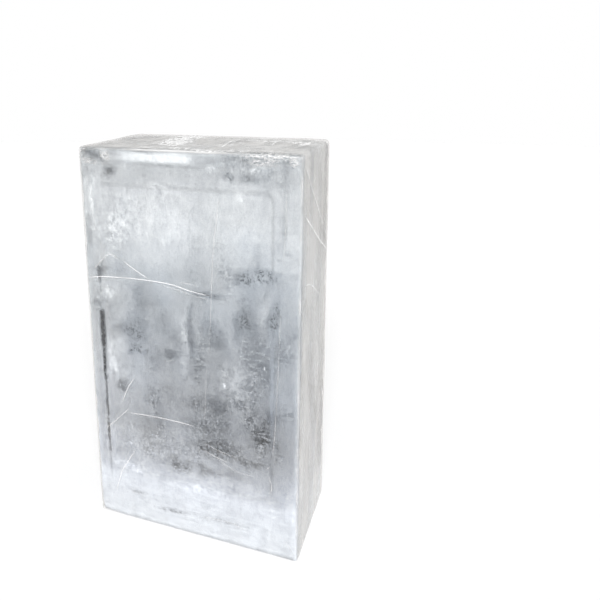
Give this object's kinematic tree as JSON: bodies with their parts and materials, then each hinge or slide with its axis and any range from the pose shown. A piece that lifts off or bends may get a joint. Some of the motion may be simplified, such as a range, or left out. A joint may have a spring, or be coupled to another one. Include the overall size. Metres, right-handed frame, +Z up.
{
  "type": "ice block",
  "caption": "Tall clear block of ice standing on its end, its broad front dished inside a rim, in a close clear plastic film that is open at the foot.",
  "frame": {"origin": "middle of the foot, on the surface that the block stands on", "axes": "+Z up the block's length, +X along its width, and the broad dished front faces -Y"},
  "size_m": [0.5108, 0.2721, 0.9113],
  "materials": {
    "ice": "clear ice with cloudy, frosted patches, wet-smooth between them",
    "film": "clear glossy polythene film with sharp creases"
  },
  "bodies": {
    "root": {"ice_block": "ice", "film_wrap": "film"}
  },
  "joints": []
}
